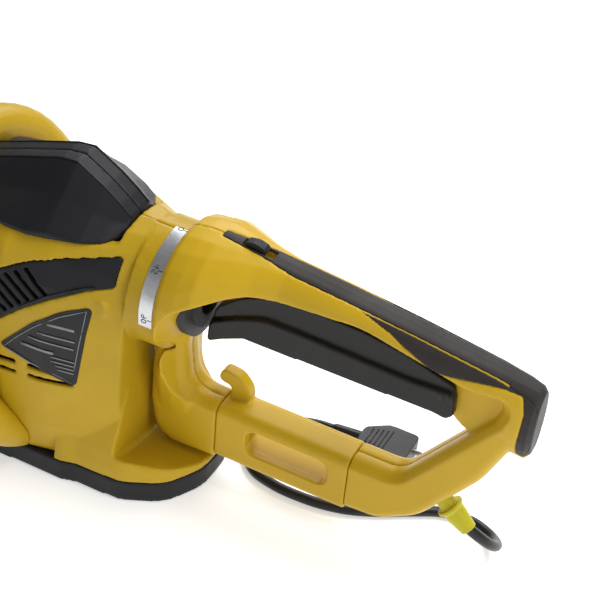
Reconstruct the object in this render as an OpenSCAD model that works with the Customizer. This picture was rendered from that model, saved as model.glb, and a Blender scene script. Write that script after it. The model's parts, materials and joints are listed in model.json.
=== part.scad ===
// Corded electric hedge trimmer with a rear D handle that turns about the collar.
// The long axis is X: the blade points to -X, the rear handle to +X. Y = 0 is the mid plane.
// Z = 0 is the surface that the base stands on. Places are worked out from the collar's axis.

/* [Main sizes] */
// Height of the collar's axis above the floor
axis_h = 143; // [139:1:150]
// Reach of the blade's tip guard in front of the collar
tip_reach = 850; // [850:1:851]
// Reach of the rear handle behind the collar
rear_reach = 227; // [227:1:228]

/* [Collar] */
// Radius of the scale ring
ring_r = 41; // [41:0.1:41.2]
// Width of the scale ring
ring_w = 9; // [7:0.5:10]
// Radius of the swivel tube inside the collar
swivel_r = 20; // [18:0.5:21]

/* [Rear handle] */
// Half thickness of the D loop
loop_half = 13; // [12.5:0.1:13.2]
// Rounding of the loop's edges
loop_edge = 6; // [4:0.5:7]
// Length of the slot in the cord retainer
slot_length = 57; // [40:1:60]
// Height of the slot in the cord retainer
slot_height = 20; // [14:1:21]
// Swing of the trigger in degrees
trigger_swing = 2; // [1:0.5:2]

/* [Motor and gears] */
// Distance from the collar to the motor's axis
motor_x = 90; // [89:0.5:91]
// Teeth of the motor pinion
pinion_teeth = 10; // [10:1:10]
// Teeth of the drive gear
gear_teeth = 46; // [46:1:46]
// Gear module
gear_module = 1.5; // [1.5:0.1:1.5]
// Half stroke of each blade
half_stroke = 7; // [5:0.5:7]

/* [Blades] */
// Number of teeth on each side of a blade
blade_teeth = 18; // [12:1:18]
// Distance between neighbouring teeth
tooth_pitch = 31; // [28:0.5:31]
// Distance from the mid line to a tooth's tip
tooth_reach = 30; // [26:1:34]

/* [Front handle] */
// Forward lean of the front handle in degrees
bail_lean = 26; // [24:1:28]
// Radius of the front handle's tube
bail_r = 14; // [13:0.5:14]

/* [Cord] */
// Diameter of the mains lead
cord_d = 7; // [6:0.5:7.5]

/* [Hidden] */

$fn = 64;
eps = 0.01;
far = 400;
ring_x = (tip_reach - rear_reach) / 2;
floor_z = -axis_h;

// Colours
yellow = [0.87, 0.70, 0.16];
amber = [0.88, 0.72, 0.20];
black = [0.12, 0.12, 0.13];
soft_black = [0.20, 0.18, 0.17];
steel = [0.70, 0.71, 0.73];
silver = [0.80, 0.81, 0.82];
copper = [0.75, 0.42, 0.22];

// ---------- Points and outlines ----------

function unit(v) = v / norm(v);
function left_of(e) = [-e[1], e[0]];

// Points of a rounded corner p between its neighbours a and b
function fillet(a, p, b, r, n) =
    let(
        u = unit(a - p),
        v = unit(b - p),
        half = acos(max(-1, min(1, u * v))) / 2,
        t = min(r / tan(half), 0.48 * min(norm(a - p), norm(b - p))),
        rr = t * tan(half),
        c = p + unit(u + v) * rr / sin(half),
        sweep = 180 - 2 * half,
        s = p + u * t - c,
        e = p + v * t - c
    )
    [for (i = [0:n]) c + (s * sin((1 - i / n) * sweep) + e * sin(i / n * sweep)) / sin(sweep)];

// An outline of [x, y, radius] corners as points
function rounded(cs, n = 5) =
    let(m = len(cs))
    [for (i = [0:m - 1])
        let(a = cs[(i + m - 1) % m], p = cs[i], b = cs[(i + 1) % m])
        each fillet([a[0], a[1]], [p[0], p[1]], [b[0], b[1]], p[2], n)];

// The same outline, counter-clockwise, moved inwards by d
function inset(cs, d) =
    let(m = len(cs))
    [for (i = [0:m - 1])
        let(
            a = cs[(i + m - 1) % m],
            p = cs[i],
            b = cs[(i + 1) % m],
            e1 = unit([p[0] - a[0], p[1] - a[1]]),
            e2 = unit([b[0] - p[0], b[1] - p[1]]),
            n1 = left_of(e1),
            n2 = left_of(e2),
            move = (n1 + n2) * d / (1 + n1 * n2),
            convex = e1[0] * e2[1] - e1[1] * e2[0] > 0
        )
        [p[0] + move[0], p[1] + move[1], max(0.4, p[2] + (convex ? -d : d))]];

// A smooth curve through points, with n steps between neighbours
function spline(ps, n) =
    let(m = len(ps))
    concat(
        [for (i = [0:m - 2]) for (k = [0:n - 1])
            let(
                t = k / n,
                a = ps[max(i - 1, 0)],
                b = ps[i],
                c = ps[i + 1],
                d = ps[min(i + 2, m - 1)]
            )
            0.5 * (2 * b + (c - a) * t + (2 * a - 5 * b + 4 * c - d) * t * t
                + (3 * b - a - 3 * c + d) * t * t * t)],
        [ps[m - 1]]);

function tangent(ps, i) = unit(ps[min(i + 1, len(ps) - 1)] - ps[max(i - 1, 0)]);

// Rings of a section [a, b] carried along a path; a points along side, b across it
function swept(path, section, side) =
    [for (i = [0:len(path) - 1])
        let(
            t = tangent(path, i),
            n = unit(side - (side * t) * t),
            b = cross(t, n)
        )
        [for (q = section) path[i] + q[0] * n + q[1] * b]];

// ---------- Solids ----------

// A closed solid through rings of equal length, each right-handed about the way it advances
module skin(rings) {
    n = len(rings[0]);
    m = len(rings);
    points = [for (r = rings) each r];
    sides = [for (k = [0:m - 2]) for (i = [0:n - 1])
        let(a = k * n + i, b = k * n + (i + 1) % n)
        each [[a, a + n, b + n], [a, b + n, b]]];
    caps = [[for (i = [0:n - 1]) i], [for (i = [n - 1:-1:0]) (m - 1) * n + i]];
    polyhedron(points = points, faces = concat(sides, caps));
}

// A plate in the XZ plane from y0 to y1 with a rounded outer edge
module rounded_plate(cs, y0, y1, edge, n = 5, steps = 3) {
    turned = [for (k = [steps:-1:0])
        let(a = 90 * k / steps)
        [y1 - edge * (1 - sin(a)), edge * (1 - cos(a))]];
    skin([for (r = concat(turned, [[y0, 0]]))
        [for (q = rounded(inset(cs, r[1]), n)) [q[0], r[0], q[1]]]]);
}

// A plate in the XZ plane from y0 to y1 with sharp edges
module plate(cs, y0, y1, n = 5) {
    translate([0, y1, 0])
        rotate([90, 0, 0])
            linear_extrude(y1 - y0)
                polygon(rounded(cs, n));
}

// Half of a section across X, from the bottom round to the top on the +Y side
function half_section(s, wall, n = 12) =
    let(
        w = s[1] - wall,
        top = s[2] - wall,
        bottom = s[3],
        mid = (top + bottom) / 2,
        h = (top - bottom) / 2,
        power = 2 / s[4]
    )
    [for (i = [0:n])
        let(a = -90 + 180 * i / n, c = max(0, cos(a)), sn = sin(a))
        [s[0], w * pow(c, power), mid + h * sign(sn) * pow(abs(sn), power)]];

module half_loft(sections, wall = 0, n = 12) {
    skin([for (s = sections) half_section(s, wall, n)]);
}

module at_collar() {
    translate([ring_x, 0, axis_h])
        children();
}

// The right-hand piece at the collar, or its mirror image on the left
module sided(side) {
    at_collar()
        mirror([0, side < 0 ? 1 : 0, 0])
            children();
}

module along_x(x0, x1, r) {
    translate([x0, 0, 0])
        rotate([0, 90, 0])
            cylinder(r = r, h = x1 - x0);
}

module along_y(x, z, y0, y1, r) {
    translate([x, y0, z])
        rotate([-90, 0, 0])
            cylinder(r = r, h = y1 - y0);
}

module upright(x, y, z0, z1, r) {
    translate([x, y, z0])
        cylinder(r = r, h = z1 - z0);
}

module block(x0, x1, y0, y1, z0, z1) {
    translate([x0, y0, z0])
        cube([x1 - x0, y1 - y0, z1 - z0]);
}

// ---------- Housing ----------

base_top = floor_z + 16;
wall_t = 3.2;
neck_r = ring_r - 0.8;
rear_wall = -20.5;
swing_r = 122.6;
cover_z = 33;
cover_front = -150;
cover_rear = -34;
front_x = -203;

// [x, half width, top, bottom, squareness]
housing_sections = [
    [front_x, 36, -76, -150, 3.2],
    [-190, 40, -60, -155, 3.2],
    [-172, 44, -33, -160, 3.3],
    [-158, 48, 6, -160, 3.4],
    [-148, 51, 35, -160, 3.5],
    [-130, 57, 41, -160, 3.6],
    [-95, 64, 43, -160, 3.6],
    [-65, 60, 43, -158, 3.2],
    [-45, 54, 42, -162, 2.9],
    [-30, 48, 41, -158, 2.6],
    [rear_wall - 0.5, 43.5, 40.6, -150, 2.4],
    [rear_wall + 0.5, neck_r + 0.6, neck_r + 0.4, -neck_r - 0.6, 2],
    [-14, neck_r, neck_r, -neck_r, 2]
];

base_outline = [
    [26, -17, 30], [27, 0, 60], [26, 17, 30], [13, 41, 30], [-12, 54.5, 30], [-46, 56, 12],
    [-54, 58.5, 12], [-120, 60, 20], [-165, 54, 20], [-205, 36, 10], [-238, 24, 6],
    [-238, -24, 6], [-205, -36, 10], [-165, -54, 20], [-120, -60, 20], [-54, -58.5, 12],
    [-46, -56, 12], [-12, -54.5, 30], [13, -41, 30]
];

module housing_shape(wall) {
    sections = wall == 0
        ? housing_sections
        : [for (s = housing_sections)
            if (s[0] < rear_wall - 4)
                [max(s[0], front_x + wall), s[1], s[2], s[3], s[4]]];
    half_loft(sections, wall);
}

// The bell-shaped foot at the rear, [height above the base, step in from its outline]
bell_rings = [[0, 0], [8, 0.6], [18, 3], [30, 7.5], [44, 14], [60, 22]];

// The foot, cut back where the turning handle passes over it
module skirt_lip() {
    difference() {
        intersection() {
            skin([for (r = bell_rings)
                [for (q = rounded(inset(base_outline, r[1]), 8)) [q[0], q[1], base_top + r[0]]]]);
            block(-60, far, 0, far, -far, far);
        }
        along_x(rear_wall + 0.8, far, swing_r);
    }
}

vent_outline = [
    [-28, 28, 1.5], [-61, 24, 30], [-79, 19, 30], [-93, 12, 30], [-112, 2, 30], [-134, -28, 3],
    [-122, -54, 3], [-102, -30, 20], [-79, -11, 30], [-63, -1, 30], [-43, 8, 20], [-28, 11, 1.5]
];
label_outline = [[-94, -42, 2], [-45, -62, 3], [-37, -1, 3], [-55, -7, 40], [-71, -18, 40]];
cooling_slots = [[-77, -47], [-108, -84]];

module vent_window() {
    plate(vent_outline, 20, far);
}

module housing_half() {
    difference() {
        union() {
            housing_shape(0);
            intersection() {
                along_x(-14.5, 0, neck_r);
                block(-far, far, 0, far, -far, far);
            }
            skirt_lip();
        }
        housing_shape(wall_t);
        block(-far, far, -1, far, -far, base_top);
        block(cover_front, cover_rear, -1, far, cover_z, far);
        along_x(-30, far, swivel_r);
        vent_window();
        for (z = [-54, -62]) {
            for (s = cooling_slots) {
                block(s[0], s[1], 30, far, z - 1.5, z + 1.5);
            }
        }
    }
}

// Screws that join the halves, [x, z, reach of the boss]
housing_screw_spots = [
    [-192, -95, 37.5], [-150, -98, 48.5], [-132, 25, 43], [-34, -2, 46], [-35, -60, 46.5],
    [-60, -98, 55.5]
];
screw_r = 1.8;
head_r = 3.4;
head_t = 2;
boss_r = 5.5;
boss_seat = 16;

// A housing half with its screw bosses, pierced by holes of radius r from y0
module bossed_half(seat_r) {
    difference() {
        union() {
            housing_half();
            for (p = housing_screw_spots) {
                along_y(p[0], p[1], 0, p[2], boss_r);
            }
        }
        for (p = housing_screw_spots) {
            along_y(p[0], p[1], -1, boss_seat + head_t, screw_r);
            along_y(p[0], p[1], boss_seat + (seat_r > 0 ? 0 : far), 2 * far, head_r + 0.4);
        }
    }
}

module housing_left() {
    color(yellow)
        sided(-1)
            bossed_half(0);
}

module housing_right() {
    color(yellow)
        sided(1)
            bossed_half(head_r);
}

// [x, foot half width, facet height, shoulder half width, shoulder z, top z]
cover_sections = [
    [cover_front, 37, 1, 24, 36, 38],
    [-146, 38, 2, 24, 39, 45.5],
    [-112, 46, 3, 26, 45, 58],
    [-84, 47, 3, 27, 52, 67.5],
    [-72, 44, 4, 26, 53, 69],
    [-53, 38, 0.6, 22, 46, 58],
    [-42, 31, 0.5, 17, 42, 50],
    [cover_rear, 17, 0.5, 12, 40.5, 43]
];
cover_strip = 10;

function cover_section(s, wall) = [
    [s[0], 0, cover_z - (wall > 0 ? 1 : 0)],
    [s[0], s[1] - wall, cover_z - (wall > 0 ? 1 : 0)],
    [s[0], s[1] - wall, cover_z + max(s[2] - wall, 0.3)],
    [s[0], s[3] - wall / 2, s[4] - wall],
    [s[0], cover_strip, s[5] - wall],
    [s[0], 0, s[5] - wall]
];

module cover_half() {
    wall = 2.6;
    difference() {
        skin([for (s = cover_sections) cover_section(s, 0)]);
        skin([for (s = cover_sections)
            if (s[0] > cover_front && s[0] < -50) cover_section(s, wall)]);
    }
}

module top_cover_left() {
    color(black)
        sided(-1)
            cover_half();
}

module top_cover_right() {
    color(black)
        sided(1)
            cover_half();
}

// A louvred insert that fills the vent window in the wall
module grille_half() {
    louvre_pitch = 9;
    louvres = 12;
    last_louvre = -63;
    difference() {
        intersection() {
            housing_shape(0);
            vent_window();
        }
        housing_shape(wall_t);
        intersection() {
            plate(inset(vent_outline, 3), 20, far);
            for (k = [0:louvres - 1]) {
                translate([last_louvre - k * louvre_pitch, 0, 0])
                    rotate([0, -49, 0])
                        block(-1.5, 1.5, 20, far, -80, 80);
            }
        }
    }
}

module vent_grille_left() {
    color(black)
        sided(-1)
            grille_half();
}

module vent_grille_right() {
    color(black)
        sided(1)
            grille_half();
}

module rating_label() {
    thick = 0.6;
    color(soft_black)
        sided(-1)
            difference() {
                intersection() {
                    housing_shape(-thick);
                    plate(label_outline, 20, far);
                }
                housing_shape(0);
            }
}

base_seat = floor_z + 5;
base_screw_spots = [[-60, 31.5], [-60, -31.5], [-170, 33], [-170, -33]];
foot_r = 4;
chamber_floor = floor_z + 2.5;
gear_x = motor_x + gear_module * (gear_teeth + pinion_teeth) / 2;
yoke_half_x = 27.6;
yoke_half_y = 20.6;
chamber_half = 29;

module base_cover() {
    color(black)
        at_collar()
            difference() {
                translate([0, 0, floor_z])
                    linear_extrude(base_top - floor_z)
                        polygon(rounded(base_outline, 8));
                block(-207, -gear_x + 45, -chamber_half, chamber_half, chamber_floor, far);
                block(-far, -200, -15, 15, chamber_floor, guide_top);
                for (p = base_screw_spots) {
                    upright(p[0], p[1], base_seat - 1, far, screw_r);
                    upright(p[0], p[1], -far, base_seat, head_r + 0.3);
                }
            }
}

// ---------- Drive ----------

plate_t = 4;
plate_z = base_top + 9;
gear_z = plate_z + plate_t + 2;
gear_t = 7;
axle_r = 5;
hub_r = 9;
lower_blade_z = floor_z + 3.2;
blade_t = 2;
blade_gap = 0.35;
upper_blade_z = lower_blade_z + blade_t + blade_gap;
guide_z = upper_blade_z + blade_t + blade_gap;
guide_t = 2.5;
guide_top = guide_z + guide_t;
shaft_r = 4;
bearing_r = 11;

module gear_plate() {
    color(steel)
        at_collar()
            difference() {
                union() {
                    plate_half = 37.5;
                    block(-178, -52, -plate_half, plate_half, plate_z, plate_z + plate_t);
                    for (p = base_screw_spots) {
                        upright(p[0], p[1], base_top, plate_z + eps, foot_r);
                    }
                    upright(-motor_x, 0, plate_z, plate_z + 40, bearing_r + 3);
                }
                upright(-motor_x, 0, plate_z - 1, plate_z + 31, pinion_tip_r + 1);
                upright(-motor_x, 0, plate_z + 31 - eps, far, bearing_r);
                translate([-gear_x, 0, gear_z - 1])
                    cylinder(r = gear_tip_r + 1, h = gear_t + 2);
                upright(-gear_x, 0, plate_z - 1, far, hub_r + 0.5);
                for (p = base_screw_spots) {
                    upright(p[0], p[1], -far, far, screw_r);
                }
            }
}

pinion_r = gear_module * pinion_teeth / 2;
gear_r = gear_module * gear_teeth / 2;
pinion_tip_r = pinion_r + 1.3;
gear_tip_r = gear_r + 1.3;

function toothed(n, pitch_r, turn) =
    let(pitch = 360 / n)
    [for (i = [0:n - 1])
        for (q = [[-0.36, -1.75], [-0.13, 1.3], [0.13, 1.3], [0.36, -1.75]])
            let(a = turn + (i + q[0]) * pitch, r = pitch_r + q[1])
            [r * cos(a), r * sin(a)]];

module swivel_tube() {
    color(soft_black)
        at_collar()
            difference() {
                union() {
                    along_x(-23, 17, swivel_r);
                    along_x(8, 14, swivel_r + 7);
                }
                along_x(-24, 18, swivel_r - 8);
            }
}

module scale_ring() {
    color(silver)
        at_collar()
            translate([-ring_w - 0.5, 0, 0])
                rotate([0, 90, 0])
                    rotate([0, 0, 180])
                        rotate_extrude(angle = 98)
                            translate([neck_r, 0])
                                square([ring_r - neck_r, ring_w]);
}

stator_z = -42;
stator_h = 46;
stator_r = 36;
bore_r = 21.5;

module motor_stator() {
    color(steel)
        at_collar()
            difference() {
                upright(-motor_x, 0, stator_z, stator_z + stator_h, stator_r);
                upright(-motor_x, 0, stator_z - 1, far, bore_r);
                for (turn = [0, 180]) {
                    translate([-motor_x, 0, stator_z - 1])
                        rotate([0, 0, turn])
                            block(-14, 14, 18, 29, 0, stator_h + 2);
                }
            }
}

module stator_coils() {
    color(copper)
        at_collar()
            for (turn = [0, 180]) {
                translate([-motor_x, 0, stator_z - 6])
                    rotate([0, 0, turn])
                        block(-13.5, 13.5, 22.5, 28.5, 0, stator_h + 12);
            }
}

module brush_holders() {
    color(amber)
        at_collar()
            for (turn = [0, 180]) {
                translate([-motor_x, 0, 22])
                    rotate([0, 0, turn])
                        block(13.4, 34, -5, 5, 0, 10);
            }
}

bearing_spots = [plate_z + 31, 40];

module motor_bearings() {
    color(steel)
        at_collar()
            for (z = bearing_spots) {
                difference() {
                    upright(-motor_x, 0, z, z + 8, bearing_r);
                    upright(-motor_x, 0, z - 1, z + 9, shaft_r + 0.03);
                }
            }
}

module gear_axle() {
    color(steel)
        at_collar()
            union() {
                upright(-gear_x, 0, chamber_floor, gear_z + gear_t + 6, axle_r);
                upright(-gear_x, 0, gear_z + gear_t + 2, gear_z + gear_t + 6, axle_r + 4);
            }
}

module capacitor() {
    color(amber)
        at_collar()
            along_y(-48, -20, 14, 32, 8);
}

module front_switch() {
    color(soft_black)
        at_collar()
            block(-116, -88, 44, 54, -100, -84);
}

module housing_screws() {
    color(steel)
        at_collar()
            for (p = housing_screw_spots) {
                along_y(p[0], p[1], -12, boss_seat, screw_r);
                along_y(p[0], p[1], boss_seat, boss_seat + head_t, head_r);
            }
}

// Screws from below that clamp the base cover and the housing to the gear plate
module base_screws() {
    color(steel)
        at_collar()
            for (p = base_screw_spots) {
                upright(p[0], p[1], base_seat, plate_z + plate_t, screw_r);
                upright(p[0], p[1], base_seat - head_t, base_seat, head_r);
            }
}

module motor_shaft() {
    color(steel)
        at_collar()
            union() {
                upright(-motor_x, 0, gear_z + gear_t, 50, shaft_r);
                translate([-motor_x, 0, gear_z - 0.5])
                    linear_extrude(gear_t + 1)
                        polygon(toothed(pinion_teeth, pinion_r, 180));
            }
}

module rotor_ring(z0, z1, r) {
    at_collar()
        difference() {
            upright(-motor_x, 0, z0, z1, r);
            upright(-motor_x, 0, z0 - 1, z1 + 1, shaft_r);
        }
}

module rotor_core() {
    color(steel)
        rotor_ring(stator_z + 2, stator_z + stator_h - 2, bore_r - 0.7);
}

module commutator() {
    color(copper)
        rotor_ring(18, 36, 13);
}

module cooling_fan() {
    blades = 9;
    color(soft_black)
        at_collar()
            difference() {
                union() {
                    upright(-motor_x, 0, -62, -60, 33);
                    upright(-motor_x, 0, -62, -50, 9);
                    for (i = [0:blades - 1]) {
                        translate([-motor_x, 0, -60 - eps])
                            rotate([0, 0, i * 360 / blades])
                                block(8, 32, -0.8, 0.8, 0, 9);
                    }
                }
                upright(-motor_x, 0, -63, -49, shaft_r);
            }
}

module drive_gear() {
    color(steel)
        at_collar()
            difference() {
                union() {
                    translate([-gear_x, 0, gear_z])
                        linear_extrude(gear_t)
                            polygon(toothed(gear_teeth, gear_r, 180 / gear_teeth));
                    upright(-gear_x, 0, upper_blade_z + blade_t, gear_z + eps, hub_r);
                }
                upright(-gear_x, 0, -far, far, axle_r + 0.05);
            }
}

cam_r = 13;

module eccentric_cams() {
    color(silver)
        at_collar()
            difference() {
                union() {
                    upright(-gear_x, half_stroke, upper_blade_z, upper_blade_z + blade_t, cam_r);
                    upright(-gear_x, -half_stroke, lower_blade_z, lower_blade_z + blade_t, cam_r);
                    upright(-gear_x, 0, lower_blade_z, upper_blade_z + blade_t, hub_r - 2);
                }
                upright(-gear_x, 0, -far, far, axle_r + 0.05);
            }
}

// ---------- Blades ----------

blade_start = -gear_x + yoke_half_x + 5;
blade_end = -tip_reach + 36;
yoke_end = -gear_x - yoke_half_x - 5;
first_tooth = -262;
spine_half = 12.5;
bolt_r = 3;
bolt_spots = [for (i = [0:5]) -300 - i * 100];

// One side of the blade from its tail to its tip: the yoke plate, the spine and the teeth
function blade_side() = concat(
    [[blade_start, 0], [blade_start, yoke_half_y + 6], [yoke_end, yoke_half_y + 6],
        [yoke_end - 14, spine_half]],
    [for (i = [0:blade_teeth - 1])
        for (q = [[8.5, spine_half], [4, tooth_reach], [-4, tooth_reach], [-8.5, spine_half]])
            [first_tooth - i * tooth_pitch + q[0], q[1]]],
    [[blade_end, spine_half], [blade_end, 0]]);

module blade(z) {
    yoke = [for (q = [[1, 1], [-1, 1], [-1, -1], [1, -1]])
        [-gear_x + q[0] * yoke_half_x, q[1] * yoke_half_y, 14]];
    side = blade_side();
    other_side = [for (i = [len(side) - 1:-1:0]) [side[i][0], -side[i][1]]];
    translate([0, 0, z])
        difference() {
            linear_extrude(blade_t)
                difference() {
                    polygon(concat(side, other_side));
                    polygon(rounded(yoke));
                }
            for (x = bolt_spots) {
                block(x - half_stroke, x + half_stroke, -bolt_r - 0.3, bolt_r + 0.3, -1, 9);
                for (end = [-1, 1]) {
                    upright(x + end * half_stroke, 0, -1, 9, bolt_r + 0.3);
                }
            }
        }
}

module upper_blade() {
    color(silver)
        at_collar()
            blade(upper_blade_z);
}

module lower_blade() {
    color(steel)
        at_collar()
            blade(lower_blade_z);
}

module guide_bar() {
    color(steel)
        at_collar()
            difference() {
                block(-tip_reach + 20, -200, -10, 10, guide_z, guide_top);
                for (x = bolt_spots) {
                    upright(x, 0, -far, far, bolt_r);
                }
            }
}

module blade_bolts() {
    color(silver)
        at_collar()
            for (x = bolt_spots) {
                upright(x, 0, lower_blade_z - 0.4, guide_top + eps, bolt_r);
                upright(x, 0, lower_blade_z - 2.2, lower_blade_z - 0.35, 6);
                translate([x, 0, guide_top])
                    cylinder(r = 6, h = 4, $fn = 6);
            }
}

module tip_guard() {
    hole_r = 4;
    color(black)
        at_collar()
            difference() {
                translate([0, 0, floor_z + 1])
                    linear_extrude(13)
                        polygon(rounded([
                            [-tip_reach, -12, 9], [-tip_reach + 26, -15, 3],
                            [-tip_reach + 26, 15, 3], [-tip_reach, 12, 9]
                        ]));
                block(-tip_reach + 20, far, -10, 10, guide_z, guide_top);
                upright(-tip_reach + 10, 0, -far, far, hole_r);
            }
}

// ---------- Front handle ----------

bail_top = [-168, 0, 41];
bail_half = [
    [0, 0], [27, 2], [50, 10.5], [68, 28], [79, 58], [83, 90], [82, 119], [76, 146],
    [66, 166], [50, 178], [40, 182]
];
bail_outline = concat(
    [for (i = [len(bail_half) - 1:-1:1]) [-bail_half[i][0], bail_half[i][1]]], bail_half);
notch_half = 6;
notch_depth = 9;
bar_out = 4.2;

// A point at width y and distance s down the leaning plane
function on_bail(y, s) = bail_top + [s * sin(bail_lean), y, -s * cos(bail_lean)];
bail_side = [cos(bail_lean), 0, sin(bail_lean)];
bail_path = spline([for (q = bail_outline) on_bail(q[0], q[1])], 3);

// Half of the tube's section, with a channel for the switch bar on the inner side
function bail_section(face) =
    let(
        open = sqrt(bail_r * bail_r - notch_half * notch_half),
        arc = [for (a = [-90:18:54]) [bail_r * cos(a), bail_r * sin(a)]],
        half = concat(arc, [
            [notch_half, open], [notch_half, bail_r - notch_depth], [0, bail_r - notch_depth]
        ])
    )
    face > 0 ? half : [for (i = [len(half) - 1:-1:0]) [-half[i][0], half[i][1]]];

module bail_shell(face) {
    at_collar()
        difference() {
            skin(swept(bail_path, bail_section(face), bail_side));
            for (side = [0, 1]) {
                mirror([0, side, 0])
                    housing_shape(0);
            }
            translate([0, 0, floor_z - 1])
                linear_extrude(base_top - floor_z + 1)
                    polygon(rounded(base_outline, 8));
        }
}

module front_handle_front() {
    color(yellow)
        bail_shell(-1);
}

module front_handle_rear() {
    color(yellow)
        bail_shell(1);
}

bar_half = 5.4;

module front_switch_bar() {
    inner = [for (q = bail_path)
        if (norm(q - bail_path[0]) > 1 && q[2] > -40) q];
    section = [
        [-bar_half, bail_r - 3.5], [bar_half, bail_r - 3.5],
        [bar_half, bail_r + bar_out - 2], [bar_half - 2, bail_r + bar_out],
        [2 - bar_half, bail_r + bar_out], [-bar_half, bail_r + bar_out - 2]
    ];
    color(black)
        at_collar()
            skin(swept(inner, section, bail_side));
}

module hand_guard() {
    thick = 3;
    color(black)
        at_collar()
            translate([front_x, 0, 0])
                rotate([0, 0, 90])
                    plate([
                        [-58, -118, 20], [58, -118, 20], [92, -70, 30], [92, -15, 30],
                        [60, 8, 30], [-60, 8, 30], [-92, -15, 30], [-92, -70, 30]
                    ], 0, thick);
}

// ---------- Rear handle ----------

front_gap = 0.4;

// Corners of the D loop, [x, z, radius], counter-clockwise
loop_outline = [
    [-17.5, -62, 20], [-18, -88, 40], [-13, -121, 20], [30, -118.5, 60], [146, -112, 28],
    [171, -96, 40], [204, -49, 60], [221, -8, 30], [221, 14, 8], [150, 22, 40], [60, 34, 30],
    [6, 38, 6], [-14, -30, 8]
];
hole_outline = [
    [9, -74, 14], [153, -73, 17], [204, -3, 18], [209, 13, 8], [184, 11, 30], [120, 25, 60],
    [50, 22, 40], [20, 4, 22], [5, -38, 30]
];

// [x, half width, top, bottom, squareness] of the collar end and the grip
grip_sections = [
    [front_gap, 43, 45, -43, 2],
    [4, 46, 48.5, -46, 2],
    [14, 46, 50, -46, 2.1],
    [24, 42.5, 50, -30, 2.2],
    [37, 33, 49, -12, 2.2],
    [52, 23, 47.5, 0, 2.2],
    [68, 17.5, 45.5, 6, 2.3],
    [104, 16, 41.5, 8, 2.5],
    [150, 15.5, 36, 2, 2.5],
    [200, 15, 29.5, -12, 2.4],
    [216, 14.5, 27, -24, 2.3],
    [224, 13, 25, -26, 2.2],
    [rear_reach, 10, 22.5, -22, 2]
];
pad_t = 2.2;

// [height, half width, front, rear] of the taper from the shoulder down to the front leg
leg_sections = [
    [-4, 44.5, 2, 20], [-24, 40.5, 1, 21], [-42, 32.5, -7, 21], [-58, 24.5, -13.5, 20],
    [-74, 18, -16.5, 19], [-90, 14, -17.5, 18], [-104, 11, -17, 16]
];

function leg_ring(s, n = 8) =
    let(mid = (s[2] + s[3]) / 2, h = (s[3] - s[2]) / 2, power = 2 / 2.6)
    [for (i = [0:n])
        let(a = 90 - 180 * i / n, c = max(0, cos(a)), sn = sin(a))
        [mid + h * sign(sn) * pow(abs(sn), power), s[1] * pow(c, power), s[0]]];

module leg_taper() {
    skin([for (i = [len(leg_sections) - 1:-1:0]) leg_ring(leg_sections[i])]);
}

module grip_shape(t = 0) {
    half_loft([for (s = grip_sections)
        [s[0] - (s[0] > 220 ? t : 0), s[1] - t, s[2] - t, s[3], s[4]]], 0);
}

// The hand opening, flared towards the side faces
module hand_opening() {
    rings = [[60, 16], [loop_half + 0.2, 5], [loop_half - 4, 1.2], [6, 0], [-1, 0]];
    skin([for (r = rings)
        [for (q = rounded(inset(hole_outline, -r[1]), 5)) [q[0], r[0], q[1]]]]);
}

retainer_x = [31, 123];
retainer_top = -64;

// Half of the space that the cord retainer takes up in the lower bar
module retainer_zone() {
    block(retainer_x[0], retainer_x[1], -1, far, -far, retainer_top);
}

pad_curve = [
    [72, 46], [95, 42], [114, 38.5], [136, 33], [151, 26.5], [161, 22], [169, 20], [190, 22.5],
    [203, 23.5], [217, 22], [220, 12], [219, -20], [240, -20], [240, 70], [72, 70]
];
pad_seam = [7.7, 8.7];
seam_end = 208;

module pad_zone() {
    plate([for (q = pad_curve) [q[0], q[1], 3]], -1, far, 2);
}

// The strip along the top, narrow behind the collar, which closes over the rear end
module top_zone() {
    translate([0, 0, 20])
        linear_extrude(far)
            polygon([[23, -1], [23, 3], [48, 5], [72, pad_seam[0]], [seam_end, pad_seam[0]],
                [seam_end, pad_seam[1]], [rear_reach + 9, pad_seam[1]], [rear_reach + 9, -1]]);
    block(216, far, -1, pad_seam[1], -20, 21);
}

module side_zone() {
    intersection() {
        pad_zone();
        block(60, far, pad_seam[1], far, -far, far);
    }
}

module grip_skin() {
    difference() {
        grip_shape();
        grip_shape(pad_t);
    }
}

module top_pad_half() {
    intersection() {
        grip_skin();
        top_zone();
    }
}

module side_pad_half() {
    intersection() {
        grip_skin();
        side_zone();
    }
}

// The shell with its pads left out
module handle_envelope() {
    difference() {
        union() {
            rounded_plate(loop_outline, 0, loop_half, loop_edge);
            leg_taper();
            difference() {
                grip_shape();
                top_zone();
                side_zone();
            }
            grip_shape(pad_t);
        }
        hand_opening();
    }
}

trigger_pivot = [171, 1];
channel_half = 11.7;
channel = [
    [18.5, -50, 1], [60, -50, 1], [60, -18, 1], [182, -18, 1], [182, 12, 2], [176, 15, 3], [148, 22.5, 20], [119, 27, 30],
    [81, 29.5, 30], [57, 27, 20], [37, 20, 10], [22, 8.5, 8], [18.5, -4, 4]
];
handle_screw_spots = [[0, -92], [140, -98], [198, -32], [214, 3], [-7, -62], [14, 41]];
handle_seat = 8.5;
switch_box = [24, 50, 7, 30.5, 40];
button_x = [37, 52];
button_travel = 4;
relief_at = [184.5, -86];
relief_aim = [0.76, 0, -0.65];
relief_r = 8.6;

// The web that closes the opening's rear corner and carries the trigger's pin
tongue_half = 4;
tongue_outline = [
    [164, 8, 4], [164, -5, 4], [172, -9, 4], [183, -19, 3], [196, -26, 3], [207, -3, 1],
    [210, 17, 1], [176, 17, 2]
];

module trigger_tongue() {
    difference() {
        plate(tongue_outline, 0, tongue_half);
        along_y(trigger_pivot[0], trigger_pivot[1], -1, tongue_half + 1, 2);
    }
}

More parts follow.
